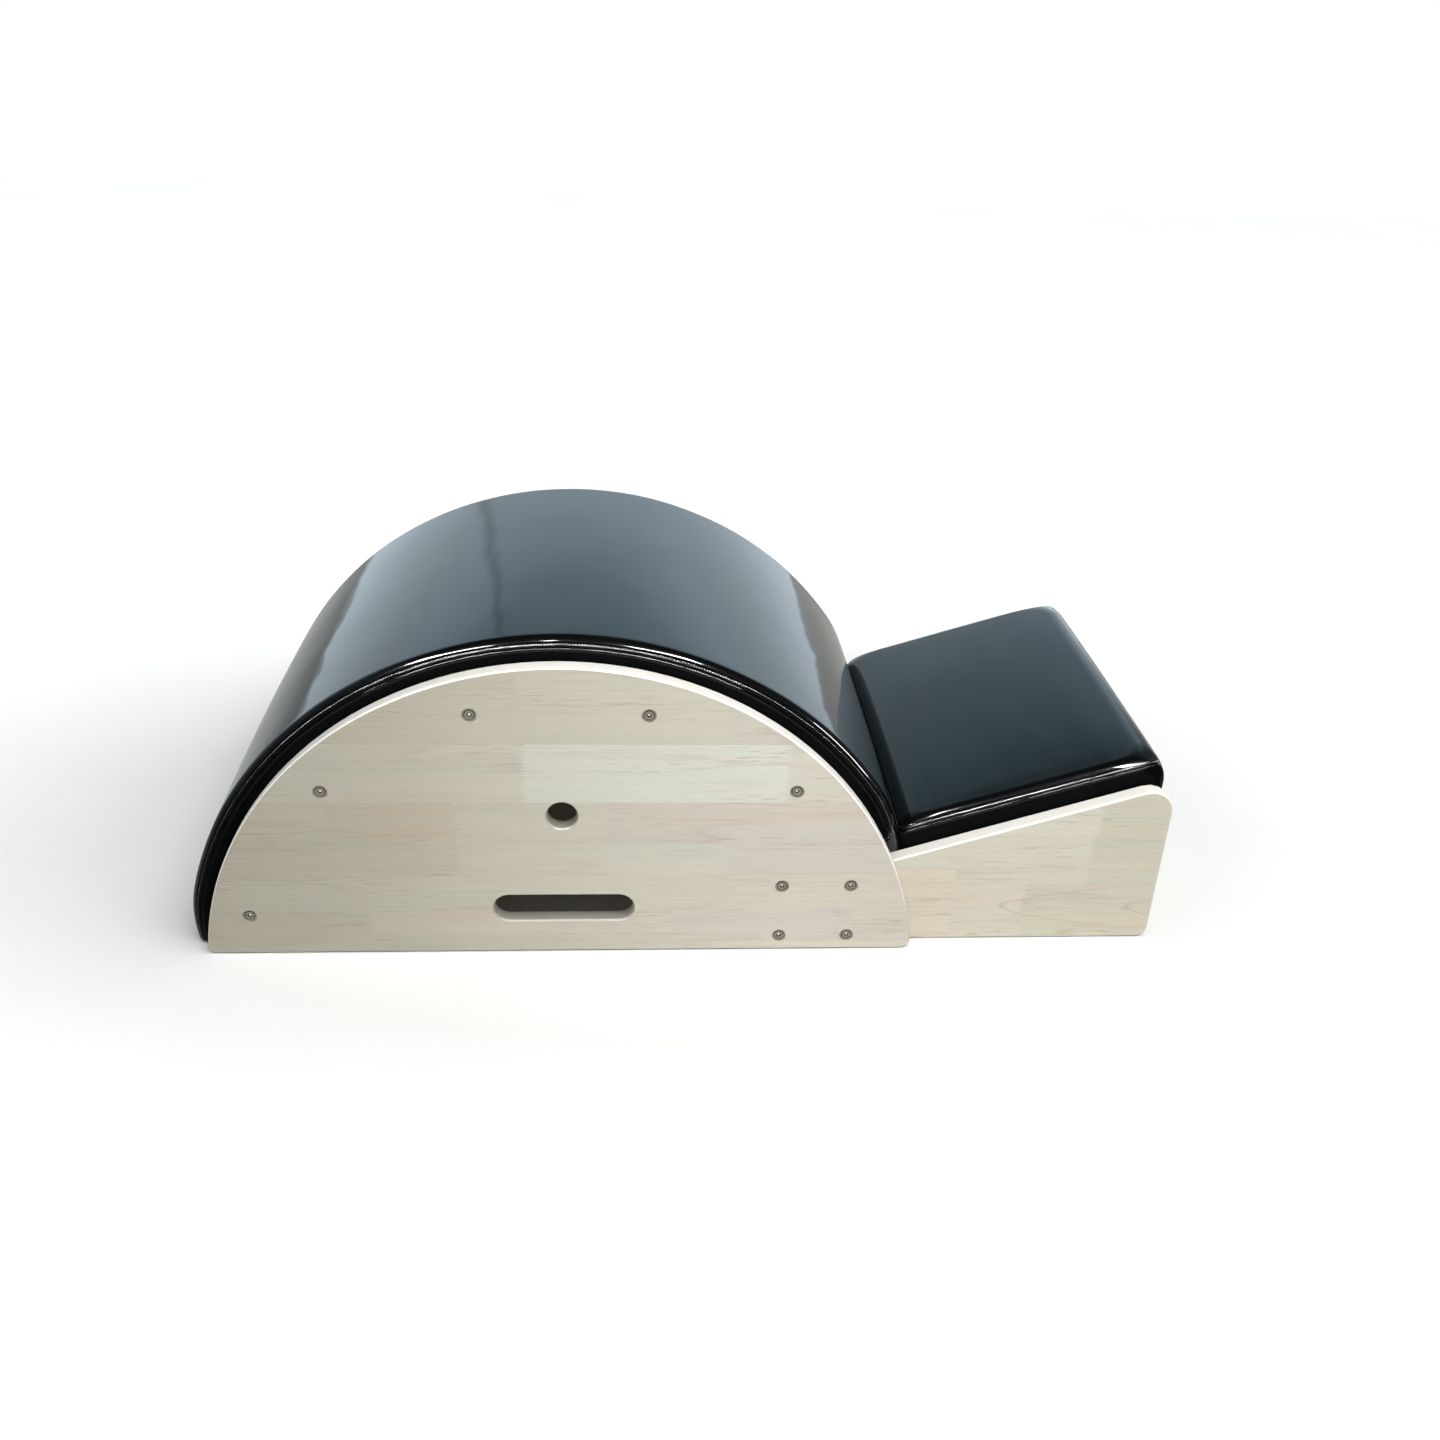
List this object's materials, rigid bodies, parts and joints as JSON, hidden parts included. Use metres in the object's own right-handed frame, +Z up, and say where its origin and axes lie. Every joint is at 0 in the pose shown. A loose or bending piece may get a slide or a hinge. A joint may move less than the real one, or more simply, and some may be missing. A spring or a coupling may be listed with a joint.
{
  "type": "spine corrector",
  "caption": "Half-barrel back stretcher with wooden side boards, a glossy padded arch and a sloping padded step.",
  "frame": {"origin": "middle of the footprint, on the floor", "axes": "+X along the length towards the step, +Y across, +Z up"},
  "size_m": [1.1286, 0.52, 0.3953],
  "materials": {
    "rubberwood": "pale finger-jointed boards under a satin lacquer",
    "plywood": "bare bent plywood",
    "softwood": "bare planed softwood",
    "foam": "dense open-cell foam",
    "leather": "black artificial leather with a high gloss",
    "steel": "zinc-plated steel"
  },
  "bodies": {
    "root": {"barrel_cover": "leather", "barrel_deck": "plywood", "barrel_foam": "foam", "barrel_nut_back_1": "steel", "barrel_nut_back_2": "steel", "barrel_nut_back_3": "steel", "barrel_nut_back_4": "steel", "barrel_nut_back_5": "steel", "barrel_nut_front_1": "steel", "barrel_nut_front_2": "steel", "barrel_nut_front_3": "steel", "barrel_nut_front_4": "steel", "barrel_nut_front_5": "steel", "barrel_side_back": "rubberwood", "barrel_side_front": "rubberwood", "cap_nut_back_1": "steel", "cap_nut_back_2": "steel", "cap_nut_back_3": "steel", "cap_nut_back_4": "steel", "cap_nut_front_1": "steel", "cap_nut_front_2": "steel", "cap_nut_front_3": "steel", "cap_nut_front_4": "steel", "cross_rail_1": "softwood", "cross_rail_2": "softwood", "cross_rail_3": "softwood", "cross_rail_4": "softwood", "cross_rail_5": "softwood", "end_board_dowel_1": "softwood", "end_board_dowel_2": "softwood", "rail_bolt_back_1": "steel", "rail_bolt_back_2": "steel", "rail_bolt_back_3": "steel", "rail_bolt_back_4": "steel", "rail_bolt_back_5": "steel", "rail_bolt_front_1": "steel", "rail_bolt_front_2": "steel", "rail_bolt_front_3": "steel", "rail_bolt_front_4": "steel", "rail_bolt_front_5": "steel", "seat_screw_back_1": "steel", "seat_screw_back_2": "steel", "seat_screw_front_1": "steel", "seat_screw_front_2": "steel", "step_bolt_back_1": "steel", "step_bolt_back_2": "steel", "step_bolt_back_3": "steel", "step_bolt_back_4": "steel", "step_bolt_front_1": "steel", "step_bolt_front_2": "steel", "step_bolt_front_3": "steel", "step_bolt_front_4": "steel", "step_cleat_back": "softwood", "step_cleat_front": "softwood", "step_cover": "leather", "step_end_board": "rubberwood", "step_foam": "foam", "step_seat_board": "plywood", "step_side_back": "rubberwood", "step_side_front": "rubberwood"}
  },
  "joints": []
}
